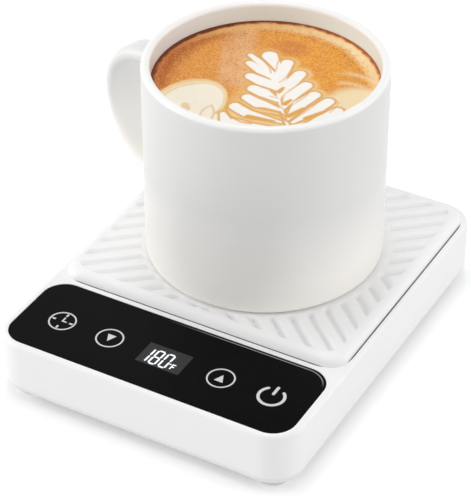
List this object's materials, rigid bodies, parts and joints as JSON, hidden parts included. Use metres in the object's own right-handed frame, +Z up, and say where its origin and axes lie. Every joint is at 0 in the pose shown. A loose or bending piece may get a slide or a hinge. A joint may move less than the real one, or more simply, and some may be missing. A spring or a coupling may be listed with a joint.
{
  "type": "electric mug warmer with mug",
  "caption": "Electric mug warmer: a low white base with a black glass touch panel and a raised, grooved heating plate that a ceramic mug of latte stands on.",
  "frame": {"origin": "centre of the base's outline on the plane of the feet's undersides", "axes": "+Z up, -Y towards the touch panel at the front, +X to the right as seen from the front"},
  "size_m": [0.1445, 0.1598, 0.1111],
  "materials": {
    "housing": "satin gloss",
    "cover": "matte",
    "feet": "matte",
    "screws": "zinc plated",
    "panel_glass": "black printed, polished",
    "marks": "printed",
    "digits": "lit",
    "display": "matte",
    "foam": "matte",
    "boards": "solder mask",
    "chip": "matte",
    "ribbon": "satin",
    "plate": "satin enamel",
    "seal": "matte",
    "spreader": "satin",
    "heater": "film",
    "insulation": "felt",
    "shield": "galvanised",
    "sensor": "matte",
    "dark_lead": "matte",
    "red_lead": "matte",
    "fuse": "satin",
    "relay": "satin",
    "transformer": "matte",
    "capacitor": "satin",
    "terminal": "matte",
    "gland": "matte",
    "mug": "gloss glaze",
    "latte": "coffee with milk foam"
  },
  "bodies": {
    "base": {"top_housing": "housing", "bottom_cover": "cover", "feet": "feet", "case_screws": "screws", "control_panel": "panel_glass", "timer_icon": "marks", "down_icon": "marks", "up_icon": "marks", "power_icon": "marks", "display_digits": "digits", "display_block": "display", "touch_pads": "foam", "control_board": "boards", "control_chip": "chip", "ribbon_cable": "ribbon", "board_screws": "screws", "heating_plate": "plate", "plate_seal": "seal", "heat_spreader": "spreader", "heater_element": "heater", "insulation_pad": "insulation", "heat_shield": "shield", "heater_screws": "screws", "temperature_sensor": "sensor", "sensor_lead": "dark_lead", "thermal_fuse": "fuse", "heater_leads": "red_lead", "power_board": "boards", "relay": "relay", "transformer": "transformer", "capacitor": "capacitor", "board_fuse": "fuse", "terminal_block": "terminal", "cord_gland": "gland"},
    "mug": {"mug_body": "mug", "mug_handle": "mug", "latte": "latte"}
  },
  "joints": [
    {"name": "mug_lift", "type": "slide", "parent": "base", "child": "mug", "axis": [0, 0, 1], "range_m": [0, 0.12]}
  ]
}
